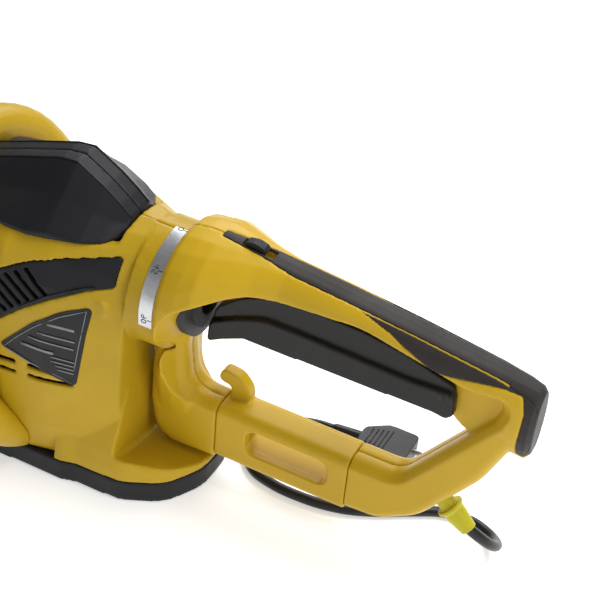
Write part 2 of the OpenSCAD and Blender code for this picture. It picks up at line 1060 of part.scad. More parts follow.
module handle_half(seat_r) {
    difference() {
        handle_envelope();
        retainer_zone();
        plate(channel, -1, channel_half);
        along_x(-far, front_gap, ring_r + 0.7);
        along_x(-1, 17.5, swivel_r + 0.06);
        along_x(7.7, 14.3, swivel_r + 7.3);
        block(switch_box[0], switch_box[1], -1, switch_box[2], 20, switch_box[4]);
        block(button_x[0] - 1, button_x[1] + button_travel + 1, -1, 3.6, 41, far);
        translate([relief_at[0], 0, relief_at[1]])
            rotate([0, 130.5, 0])
                translate([0, 0, -18])
                    cylinder(r = relief_r - 3, h = 60);
        for (p = handle_screw_spots) {
            along_y(p[0], p[1], -1, handle_seat + 1, screw_r);
            along_y(p[0], p[1], handle_seat + (seat_r > 0 ? 0 : far), 2 * far, head_r + 0.2);
        }
    }
    trigger_tongue();
}

module handle_left() {
    color(amber)
        sided(-1)
            handle_half(0);
}

module handle_right() {
    color(amber)
        sided(1)
            handle_half(head_r);
}

module top_grip_pad() {
    color(soft_black)
        at_collar()
            difference() {
                union() {
                    top_pad_half();
                    mirror([0, 1, 0])
                        top_pad_half();
                }
                block(button_x[0] - 1, button_x[1] + button_travel + 1, -3.6, 3.6, 41, far);
            }
}

module side_grip_left() {
    color(soft_black)
        sided(-1)
            side_pad_half();
}

module side_grip_right() {
    color(soft_black)
        sided(1)
            side_pad_half();
}

// The middle of the lower bar, with a slot and a hook for the cord
module cord_retainer() {
    slot_mid = [(retainer_x[0] + retainer_x[1]) / 2 + 4, -92];
    section = [
        [-loop_half, -116, loop_edge], [loop_half, -116, loop_edge],
        [loop_half, -74, loop_edge], [-loop_half, -74, loop_edge]
    ];
    seam = 0.25;
    end_r = 7;
    slot_wall = -6;
    back_rim = 4;
    half_l = slot_length / 2 - end_r;
    half_h = slot_height / 2 - end_r;
    color(amber)
        at_collar()
            union() {
                difference() {
                    translate([retainer_x[0] + seam, 0, 0])
                        rotate([90, 0, 90])
                            linear_extrude(retainer_x[1] - retainer_x[0] - 2 * seam)
                                polygon(rounded(section));
                    translate([slot_mid[0], 0, slot_mid[1]]) {
                        block(-half_l - end_r - back_rim, half_l + end_r + back_rim, slot_wall, 30,
                            -slot_height / 2 - back_rim, slot_height / 2 + back_rim);
                        block(-half_l, half_l, -30, 30, -slot_height / 2, slot_height / 2);
                        block(-half_l - end_r, half_l + end_r, -30, 30, -half_h, half_h);
                        for (sx = [-1, 1]) {
                            for (sz = [-1, 1]) {
                                along_y(sx * half_l, sz * half_h, -30, 30, end_r);
                            }
                        }
                    }
                }
                plate([
                    [33, -76, 1], [46, -76, 1], [46.5, -66, 12], [38, -57, 9], [26, -55, 5],
                    [23, -65, 4], [33, -66, 3]
                ], 2, 11);
            }
}

relief_length = 21;

module strain_relief() {
    color([0.80, 0.76, 0.08])
        at_collar()
            translate([relief_at[0], 0, relief_at[1]])
                rotate([0, 130.5, 0])
                    difference() {
                        rotate_extrude()
                            polygon([
                                [0, -14], [relief_r - 3, -14], [relief_r - 3, 1.5],
                                [relief_r, 1.5], [relief_r, 3.5], [7, 5], [6.6, 10],
                                [cord_d / 2 + 1.6, relief_length], [0, relief_length]
                            ]);
                        translate([0, 0, 4])
                            cylinder(r = cord_d / 2 + 0.5, h = far);
                    }
}

// A switch with a plunger that ends just above the fully squeezed trigger
module rear_switch() {
    plunger_x = 40;
    rise = (trigger_pivot[0] - plunger_x) * sin(trigger_swing);
    color(black)
        at_collar()
            union() {
                block(switch_box[0] + 1, switch_box[1] - 1, 0.5 - switch_box[2],
                    switch_box[2] - 0.5, switch_box[3], switch_box[4]);
                upright(plunger_x, 0, 15.5 + rise, switch_box[3] + eps, 2.2);
            }
}

module handle_screws() {
    color(steel)
        at_collar()
            for (p = handle_screw_spots) {
                along_y(p[0], p[1], -handle_seat, handle_seat, screw_r);
                along_y(p[0], p[1], handle_seat, handle_seat + head_t, head_r);
            }
}

module trigger_pin() {
    color(steel)
        at_collar()
            along_y(trigger_pivot[0], trigger_pivot[1], -11.2, 11.2, 2);
}

module trigger_spring() {
    coils = 4;
    color(silver)
        at_collar()
            for (i = [0:coils - 1]) {
                difference() {
                    along_y(trigger_pivot[0], trigger_pivot[1], 8.2 + i * 0.8, 8.9 + i * 0.8, 3.4);
                    along_y(trigger_pivot[0], trigger_pivot[1], 8, 12, 2);
                }
            }
}

// A plate across the mid plane with both outer edges rounded
module rounded_slab(cs, half, edge, n = 4, steps = 2) {
    turned = [for (k = [steps:-1:0])
        let(a = 90 * k / steps)
        [half - edge * (1 - sin(a)), edge * (1 - cos(a))]];
    back = [for (i = [steps:-1:0]) [-turned[i][0], turned[i][1]]];
    skin([for (r = concat(turned, back))
        [for (q = rounded(inset(cs, r[1]), n)) [q[0], r[0], q[1]]]]);
}

trigger_lip = [
    [20, -27, 2], [30, -21, 12], [46, -13.5, 20], [60, -11, 20], [122, -10, 60], [160, -11, 20],
    [176, -14, 4], [180, -10, 3], [179, 6, 4], [150, 4.5, 30], [82, 7, 60], [57, 7, 30],
    [40, 0, 30], [21, -10, 6]
];
trigger_top = [
    [21, -14, 2], [179, -10, 2], [178, 9, 5], [145, 19, 30], [119, 23, 30], [81, 24, 30],
    [57, 21, 20], [40, 13, 20], [24, 0, 10]
];

module trigger() {
    lip_half = 11.2;
    color(black)
        at_collar()
            difference() {
                union() {
                    rounded_slab(trigger_lip, lip_half, 2);
                    plate(trigger_top, -8, 8);
                }
                along_y(trigger_pivot[0], trigger_pivot[1], -far, far, 2.05);
                along_y(trigger_pivot[0], trigger_pivot[1], 7.9, far, 3.8);
                block(162.5, far, -tongue_half - 0.4, tongue_half + 0.4, -far, far);
            }
}

// The catch that frees the swivel slides rearwards
module release_button() {
    top = 52;
    color(black)
        at_collar()
            union() {
                plate([
                    [button_x[0], 48.2, 0.5], [button_x[1], 47, 0.5], [button_x[1] - 1, 50, 3],
                    [(button_x[0] + button_x[1]) / 2, top, 8], [button_x[0] + 1, 50.5, 3]
                ], -3.2, 3.2);
                block(button_x[0] + 1, button_x[1] - 3, -2.5, 2.5, 42, 49);
            }
}

// ---------- Mains lead ----------

// Exit, loop and run along the floor, from the collar's axis
relief_tip = [relief_at[0], 0, relief_at[1]] + 4 * unit(relief_aim);
lead_points = [
    relief_tip, [199, 0, -98.5], [210.5, 6, -110.5], [215, 15.5, -121], [213, 27, -130],
    [204.5, 38, -136.5], [190, 45, -139.4], [172, 43, -139.4], [154, 33, -139.4],
    [136, 21.5, -139.4], [118, 12.5, -139.4], [99, 7.5, -139.4], [80, 6, -139.4],
    [65, 7, -139.4], [49, 11.5, -139.4], [37.5, 23, -139.4], [33, 39, -139.4],
    [37.5, 55, -139.4], [49, 66.5, -139.2], [64, 71, -137.4], [78, 71, -135.5]
];
lead_rings_per_point = 3;
plug_at = [78, 71, -135.5];
circle_10 = [for (i = [0:9]) cord_d / 2 * [cos(36 * i), sin(36 * i)]];

module mains_lead() {
    color(black)
        at_collar()
            skin(swept(spline(lead_points, lead_rings_per_point), circle_10, [0.1, 0.3, 1]));
}

// A flat two-pin plug that lies on the floor with its pins to the rear
module plug_body() {
    plug_h = 15;
    color(black)
        at_collar()
            translate(plug_at)
                union() {
                    rotate([0, 90, 0])
                        cylinder(r1 = 4.5, r2 = 6.5, h = 21);
                    translate([20, 0, -plug_h / 2])
                        linear_extrude(plug_h)
                            polygon(rounded([
                                [36, -17.5, 3], [36, 17.5, 3], [14, 17.5, 8],
                                [0, 7, 5], [0, -7, 5], [14, -17.5, 8]
                            ]));
                }
}

module plug_pins() {
    pin_r = 2.4;
    pin_gap = 19;
    color(silver)
        at_collar()
            translate(plug_at)
                for (side = [-1, 1]) {
                    translate([56, side * pin_gap / 2, 0])
                        rotate([0, 90, 0])
                            cylinder(r = pin_r, h = 19);
                }
}

housing_left();
housing_right();
top_cover_left();
top_cover_right();
vent_grille_left();
vent_grille_right();
rating_label();
base_cover();
gear_plate();
swivel_tube();
scale_ring();
motor_stator();
stator_coils();
brush_holders();
motor_bearings();
gear_axle();
capacitor();
front_switch();
housing_screws();
front_handle_front();
front_handle_rear();
hand_guard();
guide_bar();
blade_bolts();
tip_guard();
motor_shaft();
rotor_core();
commutator();
cooling_fan();
drive_gear();
eccentric_cams();
upper_blade();
lower_blade();
front_switch_bar();
handle_left();
handle_right();
top_grip_pad();
side_grip_left();
side_grip_right();
cord_retainer();
strain_relief();
rear_switch();
handle_screws();
trigger_pin();
trigger_spring();
trigger();
release_button();
mains_lead();
plug_body();
plug_pins();
base_screws();
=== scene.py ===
"""Looks of a corded hedge trimmer with a turning rear handle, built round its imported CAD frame."""

import json
import math

import bpy
from mathutils import Matrix, Vector


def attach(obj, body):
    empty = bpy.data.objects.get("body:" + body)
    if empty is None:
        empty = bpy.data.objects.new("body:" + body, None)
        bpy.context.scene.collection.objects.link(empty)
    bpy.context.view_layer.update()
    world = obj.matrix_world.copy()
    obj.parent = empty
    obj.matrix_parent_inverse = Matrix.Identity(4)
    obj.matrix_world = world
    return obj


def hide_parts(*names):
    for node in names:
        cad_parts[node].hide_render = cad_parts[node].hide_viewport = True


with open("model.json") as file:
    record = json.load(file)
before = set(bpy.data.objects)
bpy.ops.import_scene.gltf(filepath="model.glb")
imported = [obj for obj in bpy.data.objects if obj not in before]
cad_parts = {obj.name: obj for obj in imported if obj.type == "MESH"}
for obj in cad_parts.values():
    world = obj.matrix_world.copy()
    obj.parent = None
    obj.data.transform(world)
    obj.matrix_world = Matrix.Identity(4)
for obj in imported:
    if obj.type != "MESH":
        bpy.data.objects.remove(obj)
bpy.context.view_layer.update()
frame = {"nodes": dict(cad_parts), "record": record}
NODES = frame["nodes"]

MM = 0.001
COLLAR = Vector((0.3115, 0.0, 0.143))


def at(x, y, z):
    """A place given in millimetres from the collar's axis, in the row frame."""
    return COLLAR + Vector((x, y, z)) * MM


# ---------- Camera ----------

VIEW_AZIMUTH = 23.56
VIEW_ELEVATION = 38.01
VIEW_ROLL = -5.92
VIEW_PLACE = (0.6598, -0.6279, 0.7003)
LENS = 90
SENSOR = 36


def make_camera():
    az, el, roll = (math.radians(a) for a in (VIEW_AZIMUTH, VIEW_ELEVATION, VIEW_ROLL))
    back = Vector((math.sin(az) * math.cos(el), -math.cos(az) * math.cos(el), math.sin(el)))
    right = Vector((math.cos(az), math.sin(az), 0))
    up = back.cross(right)
    c, s = math.cos(roll), math.sin(roll)
    turned = Matrix((c * right - s * up, s * right + c * up, back)).transposed()
    data = bpy.data.cameras.new("camera")
    data.lens = LENS
    data.sensor_width = SENSOR
    data.clip_start, data.clip_end = 0.01, 50
    cam = bpy.data.objects.new("camera", data)
    cam.matrix_world = Matrix.Translation(VIEW_PLACE) @ turned.to_4x4()
    bpy.context.scene.collection.objects.link(cam)
    bpy.context.scene.camera = cam


make_camera()


# ---------- Making pieces ----------

def smooth_path(points, steps):
    """A Catmull-Rom curve through points, the same as in the CAD source."""
    out = []
    last = len(points) - 1
    for i in range(last):
        a, b = points[max(i - 1, 0)], points[i]
        c, d = points[i + 1], points[min(i + 2, last)]
        for k in range(steps):
            t = k / steps
            out.append(0.5 * (2 * b + (c - a) * t + (2 * a - 5 * b + 4 * c - d) * t ** 2
                              + (3 * b - a - 3 * c + d) * t ** 3))
    return out + [points[-1]]


def piece(name, data, body, material):
    """Links a new piece that rides on a body."""
    obj = bpy.data.objects.new(name, data)
    bpy.context.scene.collection.objects.link(obj)
    obj.data.materials.append(material)
    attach(obj, body)
    return obj


def mesh_from(name, verts, faces, smooth=True):
    data = bpy.data.meshes.new(name)
    data.from_pydata([tuple(v) for v in verts], [], faces)
    data.validate()
    data.polygons.foreach_set("use_smooth", [smooth] * len(data.polygons))
    return data


# ---------- Materials ----------

EDGE_FLAT, EDGE_SHARP = 0.52, 0.60  # pointiness where wear starts and where it is full


class Nodes:
    """A small helper that adds and joins shader nodes."""

    def __init__(self, name):
        self.material = bpy.data.materials.new(name)
        self.material.use_nodes = True
        self.tree = self.material.node_tree
        self.shader = self.tree.nodes["Principled BSDF"]
        self.place = self.add("ShaderNodeTexCoord").outputs["Object"]

    def add(self, kind, **settings):
        node = self.tree.nodes.new(kind)
        for key, value in settings.items():
            setattr(node, key, value)
        return node

    def join(self, out, into):
        self.tree.links.new(out, into)

    def stretched(self, scale):
        node = self.add("ShaderNodeMapping")
        node.inputs["Scale"].default_value = scale
        self.join(self.place, node.inputs["Vector"])
        return node.outputs["Vector"]

    def noise(self, scale, detail=3.0, rough=0.5, place=None):
        node = self.add("ShaderNodeTexNoise")
        node.inputs["Scale"].default_value = scale
        node.inputs["Detail"].default_value = detail
        node.inputs["Roughness"].default_value = rough
        self.join(place or self.place, node.inputs["Vector"])
        return node.outputs["Fac"]

    def cells(self, scale):
        node = self.add("ShaderNodeTexVoronoi", feature="F1")
        node.inputs["Scale"].default_value = scale
        self.join(self.place, node.inputs["Vector"])
        return node.outputs["Distance"]

    def bands(self, direction, scale, distortion):
        node = self.add("ShaderNodeTexWave", wave_type="BANDS", bands_direction=direction)
        node.inputs["Scale"].default_value = scale
        node.inputs["Distortion"].default_value = distortion
        self.join(self.place, node.inputs["Vector"])
        return node.outputs["Fac"]

    def spread(self, value, low, high, to_low=0.0, to_high=1.0):
        node = self.add("ShaderNodeMapRange")
        for key, number in (("From Min", low), ("From Max", high),
                            ("To Min", to_low), ("To Max", to_high)):
            node.inputs[key].default_value = number
        self.join(value, node.inputs["Value"])
        return node.outputs["Result"]

    def maths(self, operation, a, b):
        node = self.add("ShaderNodeMath", operation=operation)
        for i, value in enumerate((a, b)):
            if isinstance(value, (int, float)):
                node.inputs[i].default_value = value
            else:
                self.join(value, node.inputs[i])
        return node.outputs[0]

    def mix(self, amount, a, b):
        node = self.add("ShaderNodeMix", data_type="RGBA")
        self.join(amount, node.inputs["Factor"])
        for key, value in (("A", a), ("B", b)):
            socket = [s for s in node.inputs if s.name == key and s.type == "RGBA"][0]
            if isinstance(value, (tuple, list)):
                socket.default_value = (*value, 1.0)
            else:
                self.join(value, socket)
        return [s for s in node.outputs if s.type == "RGBA"][0]

    def bump(self, layers):
        """layers are (height, strength, distance in metres), the broad ones first."""
        normal = None
        for height, strength, distance in layers:
            node = self.add("ShaderNodeBump")
            node.inputs["Strength"].default_value = strength
            node.inputs["Distance"].default_value = distance
            self.join(height, node.inputs["Height"])
            if normal:
                self.join(normal, node.inputs["Normal"])
            normal = node.outputs["Normal"]
        self.join(normal, self.shader.inputs["Normal"])

    def edges(self):
        """0 on flats and 1 on worn outer edges."""
        node = self.add("ShaderNodeNewGeometry")
        return self.spread(node.outputs["Pointiness"], EDGE_FLAT, EDGE_SHARP)

    def constant(self, **values):
        for key, value in values.items():
            self.shader.inputs[key.replace("_", " ")].default_value = value


def tint(colour, factor):
    return tuple(min(1.0, c * factor) for c in colour)


LIGHT_PLASTIC = 0.2  # a colour brighter than this wears to a lighter tint of itself
WORN_BLACK = (0.05, 0.05, 0.052)
SCUFF = 0.08  # how much rougher a scuff is


def moulded(name, colour, rough, grain=2200, grain_depth=0.00006, grain_strength=0.25,
            deep=0.80):
    """Moulded plastic: slow colour drift, fine grain, faint sink marks, scuffs and worn edges."""
    n = Nodes(name)
    drift = n.spread(n.noise(9, 4, 0.55), 0.35, 0.68)
    base = n.mix(drift, tint(colour, deep), colour)
    speck = n.spread(n.noise(1400, 2), 0.45, 0.75, 0.0, 0.22)
    base = n.mix(speck, base, tint(colour, 1.18))
    worn = n.maths("MULTIPLY", n.edges(), n.spread(n.noise(160, 5), 0.42, 0.62, 0.0, 0.45))
    base = n.mix(worn, base, tint(colour, 1.3) if max(colour) > LIGHT_PLASTIC else WORN_BLACK)
    n.join(base, n.shader.inputs["Base Color"])
    rubs = n.noise(60, 6, 0.65, n.stretched((1.0, 3.0, 5.0)))
    uneven = n.spread(n.noise(26, 5, 0.6), 0.3, 0.7, rough - 0.05, rough + 0.06)
    n.join(n.maths("ADD", uneven, n.spread(rubs, 0.55, 0.75, 0.0, SCUFF)),
           n.shader.inputs["Roughness"])
    n.bump([
        (n.noise(38, 2), 0.12, 0.0006),
        (n.noise(grain, 2, 0.6), grain_strength, grain_depth),
    ])
    n.constant(Specular_IOR_Level=0.26)
    return n.material


def rubber(name, colour, rough, sheen=0.1, grain=1500, strength=0.5):
    """Soft over-moulding: a fine leathery grain with lighter, handled patches."""
    n = Nodes(name)
    handled = n.spread(n.noise(18, 4, 0.6), 0.4, 0.7)
    base = n.mix(handled, tint(colour, 0.78), tint(colour, 1.15))
    base = n.mix(n.spread(n.noise(900, 3), 0.5, 0.8, 0.0, 0.35), base, tint(colour, 1.9))
    base = n.mix(n.maths("MULTIPLY", n.edges(), 0.3), base, tint(colour, 2.6))
    n.join(base, n.shader.inputs["Base Color"])
    n.join(n.spread(n.noise(40, 5), 0.3, 0.7, rough - 0.07, rough + 0.07),
           n.shader.inputs["Roughness"])
    n.bump([(n.cells(grain), strength, 0.0001), (n.noise(grain * 2, 2), 0.3, 0.00005)])
    n.constant(Sheen_Weight=sheen, Sheen_Roughness=0.45, Specular_IOR_Level=0.3)
    return n.material


def film(name, colour):
    """Printed film: even, with faint streaks and a fine speckle."""
    n = Nodes(name)
    streak = n.spread(n.noise(220, 4, 0.6, n.stretched((1, 4, 9))), 0.35, 0.7)
    n.join(n.mix(streak, tint(colour, 0.85), tint(colour, 1.15)), n.shader.inputs["Base Color"])
    n.join(n.spread(n.noise(70, 4), 0.3, 0.7, 0.30, 0.42), n.shader.inputs["Roughness"])
    n.bump([(n.noise(1800, 2), 0.06, 0.00003)])
    n.constant(Specular_IOR_Level=0.3)
    return n.material


def metal(name, colour, rough, along, lines=260, depth=0.00003, stain=(0.2, 0.17, 0.13)):
    """Metal with fine tool lines along one axis, uneven polish and a few stains."""
    n = Nodes(name)
    brushed = n.noise(lines, 5, 0.7, n.stretched(along))
    base = n.mix(n.spread(brushed, 0.3, 0.7), tint(colour, 0.72), colour)
    spots = n.spread(n.noise(55, 6, 0.65), 0.60, 0.78, 0.0, 0.4)
    base = n.mix(spots, base, stain)
    n.join(base, n.shader.inputs["Base Color"])
    n.join(n.maths("ADD", n.spread(brushed, 0.25, 0.75, rough - 0.08, rough + 0.10),
                   n.spread(n.noise(30, 4), 0.55, 0.75, 0.0, 0.15)), n.shader.inputs["Roughness"])
    n.bump([(brushed, 0.35, depth)])
    n.constant(Metallic=1.0)
    return n.material


def laminated(name):
    """A stack of thin sheets with a varnish."""
    n = Nodes(name)
    lines = n.bands("Z", 300, 0.4)
    base = n.mix(lines, (0.10, 0.10, 0.11), (0.34, 0.33, 0.33))
    base = n.mix(n.spread(n.noise(60, 5), 0.5, 0.7, 0.0, 0.5), base, (0.24, 0.14, 0.07))
    n.join(base, n.shader.inputs["Base Color"])
    n.join(n.spread(lines, 0, 1, 0.6, 0.4), n.shader.inputs["Roughness"])
    n.bump([(lines, 0.5, 0.0002)])
    n.constant(Metallic=0.7)
    return n.material


def wound(name):
    """Rows of varnished copper wire."""
    n = Nodes(name)
    wires = n.bands("X", 330, 1.2)
    n.join(n.mix(wires, (0.20, 0.07, 0.02), (0.78, 0.36, 0.14)), n.shader.inputs["Base Color"])
    n.join(n.spread(n.noise(90, 4), 0.3, 0.7, 0.25, 0.45), n.shader.inputs["Roughness"])
    n.bump([(wires, 0.8, 0.0003)])
    n.constant(Metallic=0.8)
    return n.material


YELLOW = (0.52, 0.335, 0.011)
AMBER = (0.56, 0.355, 0.012)
BLACK = (0.010, 0.0105, 0.013)

MATERIALS = {
    "yellow_shell": moulded("yellow_shell", YELLOW, 0.40, grain=2600, grain_strength=0.14),
    "amber_shell": moulded("amber_shell", AMBER, 0.36, grain=2600, grain_strength=0.12, deep=0.86),
    "black_shell": moulded("black_shell", BLACK, 0.46, grain=1700, grain_strength=0.45,
                           grain_depth=0.00009, deep=0.7),
    "soft_grip": rubber("soft_grip", (0.022, 0.018, 0.016), 0.60),
    "trigger_black": moulded("trigger_black", (0.009, 0.0085, 0.008), 0.30, grain=2400,
                             grain_strength=0.2),
    "label_black": film("label_black", (0.009, 0.0095, 0.011)),
    "label_grey": film("label_grey", (0.20, 0.21, 0.23)),
    "mark_black": film("mark_black", (0.008, 0.008, 0.009)),
    "scale_silver": metal("scale_silver", (0.72, 0.73, 0.75), 0.34, (1, 6, 6), 420, 0.00001,
                          (0.55, 0.56, 0.58)),
    "bare_steel": metal("bare_steel", (0.56, 0.56, 0.57), 0.36, (1, 8, 8)),
    "blade_steel": metal("blade_steel", (0.62, 0.62, 0.63), 0.28, (9, 1, 1), 320, 0.00004),
    "gear_alloy": metal("gear_alloy", (0.52, 0.52, 0.54), 0.50, (1, 1, 1), 700, 0.00009),
    "lamination": laminated("lamination"),
    "copper_wire": wound("copper_wire"),
    "inner_plastic": moulded("inner_plastic", (0.045, 0.045, 0.048), 0.50),
    "relief_yellow": moulded("relief_yellow", (0.56, 0.50, 0.012), 0.40, grain=2400,
                             grain_strength=0.15),
    "lead_rubber": rubber("lead_rubber", (0.011, 0.011, 0.012), 0.33, 0.0, 2600, 0.12),
    "pin_metal": metal("pin_metal", (0.70, 0.69, 0.66), 0.22, (8, 1, 1), 300, 0.00002),
}

slot_of = {p["node"]: p["material_slot"] for p in frame["record"]["subparts"]}
for node, obj in NODES.items():
    obj.data.materials.clear()
    obj.data.materials.append(MATERIALS[slot_of[node]])


# ---------- Mains lead ----------

LEAD_D = 7.0
# The cord's centre line in mm from the collar, as in the CAD source
LEAD_POINTS = [
    (187.54, 0, -88.6), (199, 0, -98.5), (210.5, 6, -110.5), (215, 15.5, -121), (213, 27, -130),
    (204.5, 38, -136.5), (190, 45, -139.4), (172, 43, -139.4), (154, 33, -139.4),
    (136, 21.5, -139.4), (118, 12.5, -139.4), (99, 7.5, -139.4), (80, 6, -139.4),
    (65, 7, -139.4), (49, 11.5, -139.4), (37.5, 23, -139.4), (33, 39, -139.4),
    (37.5, 55, -139.4), (49, 66.5, -139.2), (64, 71, -137.4), (78, 71, -135.5),
]


def make_lead():
    path = smooth_path([at(*p) for p in LEAD_POINTS], 6)
    data = bpy.data.curves.new("mains_lead_curve", "CURVE")
    data.dimensions = "3D"
    data.bevel_depth = LEAD_D / 2 * MM
    data.bevel_resolution = 6
    data.use_fill_caps = True
    spline = data.splines.new("POLY")
    spline.points.add(len(path) - 1)
    for point, place in zip(spline.points, path):
        point.co = (*place, 1)
    spline.use_smooth = True
    lead = piece("lead_tube", data, "rear_handle", MATERIALS["lead_rubber"])
    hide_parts("mains_lead")


make_lead()


# ---------- Softer mould edges on the CAD pieces ----------

EASE = 0.5
CHAMFER = 0.3
CHAMFER_ANGLE = 35


def soften(node, voxel, steps):
    """Rounds a piece's edges: cells of voxel mm, then some steps of smoothing."""
    obj = NODES[node]
    remesh = obj.modifiers.new("cells", "REMESH")
    remesh.mode = "VOXEL"
    remesh.voxel_size = voxel * MM
    remesh.use_smooth_shade = True
    smooth = obj.modifiers.new("ease", "SMOOTH")
    smooth.factor = EASE
    smooth.iterations = steps


def chamfer(node):
    obj = NODES[node]
    bevel = obj.modifiers.new("edge", "BEVEL")
    bevel.width = CHAMFER * MM
    bevel.segments = 2
    bevel.limit_method = "ANGLE"
    bevel.angle_limit = math.radians(CHAMFER_ANGLE)
    bevel.harden_normals = False
    bevel.use_clamp_overlap = True


# Cell size in mm and steps of smoothing
SOFT_NODES = {
    "housing_left": (1.1, 6), "housing_right": (1.1, 6),
    "handle_left": (0.9, 10), "handle_right": (0.9, 10),
    "cord_retainer": (0.8, 5),
    "front_handle_front": (0.9, 7), "front_handle_rear": (0.9, 7),
    "front_switch_bar": (0.8, 4),
    "top_cover_left": (0.8, 12), "top_cover_right": (0.8, 12),
    "base_cover": (1.1, 5),
    "trigger": (0.7, 5),
    "top_grip_pad": (0.5, 3), "side_grip_left": (0.5, 3), "side_grip_right": (0.5, 3),
    "plug_body": (0.5, 8),
    "strain_relief": (0.4, 3),
    "release_button": (0.35, 3),
    "tip_guard": (0.7, 5),
    "hand_guard": (0.8, 3),
    "vent_grille_left": (0.7, 2), "vent_grille_right": (0.7, 2),
}
for node, (voxel, steps) in SOFT_NODES.items():
    soften(node, voxel, steps)
for node in ("guide_bar", "upper_blade", "lower_blade", "blade_bolts", "gear_plate"):
    chamfer(node)


# ---------- Shapes that lie on the housing ----------

# [x, half width, top, bottom, squareness], as in the CAD source but without its neck
HOUSING_SECTIONS = [
    (-203, 36, -76, -150, 3.2), (-190, 40, -60, -155, 3.2), (-172, 44, -33, -160, 3.3),
    (-158, 48, 6, -160, 3.4), (-148, 51, 35, -160, 3.5), (-130, 57, 41, -160, 3.6),
    (-95, 64, 43, -160, 3.6), (-65, 60, 43, -158, 3.2), (-45, 54, 42, -162, 2.9),
    (-30, 48, 41, -158, 2.6), (-21, 43.5, 40.6, -150, 2.4),
]


def shell_half_width(x, z):
    """Half width of the housing at a place, in millimetres."""
    for a, b in zip(HOUSING_SECTIONS, HOUSING_SECTIONS[1:]):
        if a[0] <= x <= b[0]:
            t = (x - a[0]) / (b[0] - a[0])
            _, half, top, bottom, power = (p + (q - p) * t for p, q in zip(a, b))
            up = abs(z - (top + bottom) / 2) / ((top - bottom) / 2)
            return half * max(0.0, 1 - up ** power) ** (1 / power)
    return 0.0


def on_side(x, z, out=0.0):
    """A place on the housing's left side, moved outwards."""
    return at(x, -shell_half_width(x, z) - out, z)


def side_patch(name, corners, out, thick, body, material, cells):
    """A thin raised patch on the left side between four corners (x, z), counter-clockwise."""
    a, b, c, d = (Vector(p) for p in corners)
    verts, faces = [], []
    for layer in (out, out - thick):
        for j in range(cells + 1):
            for i in range(cells + 1):
                u, v = i / cells, j / cells
                p = a.lerp(b, u).lerp(d.lerp(c, u), v)
                verts.append(on_side(p[0], p[1], layer))
    row, count = cells + 1, (cells + 1) ** 2
    for j in range(cells):
        for i in range(cells):
            k = j * row + i
            faces.append((k, k + 1, k + row + 1, k + row))
            faces.append((count + k, count + k + row, count + k + row + 1, count + k + 1))
    rim = (list(range(row)) + [j * row + cells for j in range(1, row)]
           + [cells * row + i for i in range(cells - 1, -1, -1)]
           + [j * row for j in range(cells - 1, 0, -1)])
    for p, q in zip(rim, rim[1:] + rim[:1]):
        faces.append((p, p + count, q + count, q))
    return piece(name, mesh_from(name, verts, faces), body, material)


def tube(name, points, radius, body, material, sides=8, smooth=4):
    """A round bead along a smooth path of row places."""
    path = smooth_path(points, smooth) if smooth else points
    verts, faces = [], []
    for i, p in enumerate(path):
        t = (path[min(i + 1, len(path) - 1)] - path[max(i - 1, 0)]).normalized()
        n = t.cross(Vector((0.3, 0.2, 1))).normalized()
        b = t.cross(n)
        for k in range(sides):
            a = 2 * math.pi * k / sides
            verts.append(p + (n * math.cos(a) + b * math.sin(a)) * radius * MM)
    for i in range(len(path) - 1):
        for k in range(sides):
            q = (k + 1) % sides
            faces.append((i * sides + k, i * sides + q, (i + 1) * sides + q, (i + 1) * sides + k))
    faces.append(tuple(range(sides - 1, -1, -1)))
    faces.append(tuple((len(path) - 1) * sides + k for k in range(sides)))
    return piece(name, mesh_from(name, verts, faces), body, material)


LABEL_OUT = 0.78
BORDER_R = 0.35
BAR_THICK = 0.1
BAR_SLOPE = -0.108
LABEL_EDGE = [(-90.5, -42.6), (-73, -49.6), (-47.2, -58.6), (-43.5, -32), (-40.2, -4),
              (-55, -10.2), (-70, -20.8), (-81, -31.6)]
# [rear x, z, front x, height] of each bar
LABEL_BARS = [
    (-62, -17, -46, 1.7), (-68, -24.5, -45.5, 1.0), (-74, -29.5, -46, 1.0), (-79, -36, -58, 1.8),
    (-60, -41, -45.5, 0.8), (-60, -44.2, -45.5, 0.8), (-57, -47.4, -46, 0.8),
    (-56, -50.4, -46, 0.8),
]


def make_label_print():
    """A thin border and plain bars in place of the printed text."""
    edge = [on_side(x, z, LABEL_OUT) for x, z in LABEL_EDGE]
    border = [p for a, b in zip(edge, edge[1:] + edge[:1]) for p in (a, a.lerp(b, 0.5))]
    tube("label_border", border + border[:1], BORDER_R, "tool",
         MATERIALS["label_grey"], 6, 0)
    for i, (x0, z, x1, tall) in enumerate(LABEL_BARS):
        drop = BAR_SLOPE * (x1 - x0)
        corners = [(x0, z - tall / 2), (x1, z - tall / 2 + drop),
                   (x1, z + tall / 2 + drop), (x0, z + tall / 2)]
        side_patch(f"label_bar_{i}", corners, LABEL_OUT, BAR_THICK, "tool",
                   MATERIALS["label_grey"], 4)


# A dark sheet set inside the housing behind the louvres: painted shade standing for the dim inside
# of the vents.
SHADE_SHEET_X, SHADE_SHEET_LONG = -132, 104
SHADE_SHEET_Z, SHADE_SHEET_TALL = -56, 88
SHADE_SHEET_CELLS = (30, 16)
SHADE_SHEET_DEEP = 5.5
SHADE_SHEET_RIPPLE = 0.5
LIP_PATH = [(-38, 10.6), (-46, 9.2), (-56, 5.2), (-64, 1.4), (-72, -4), (-80, -9.4)]
LIP_OUT = 0.2
LIP_R = 0.6


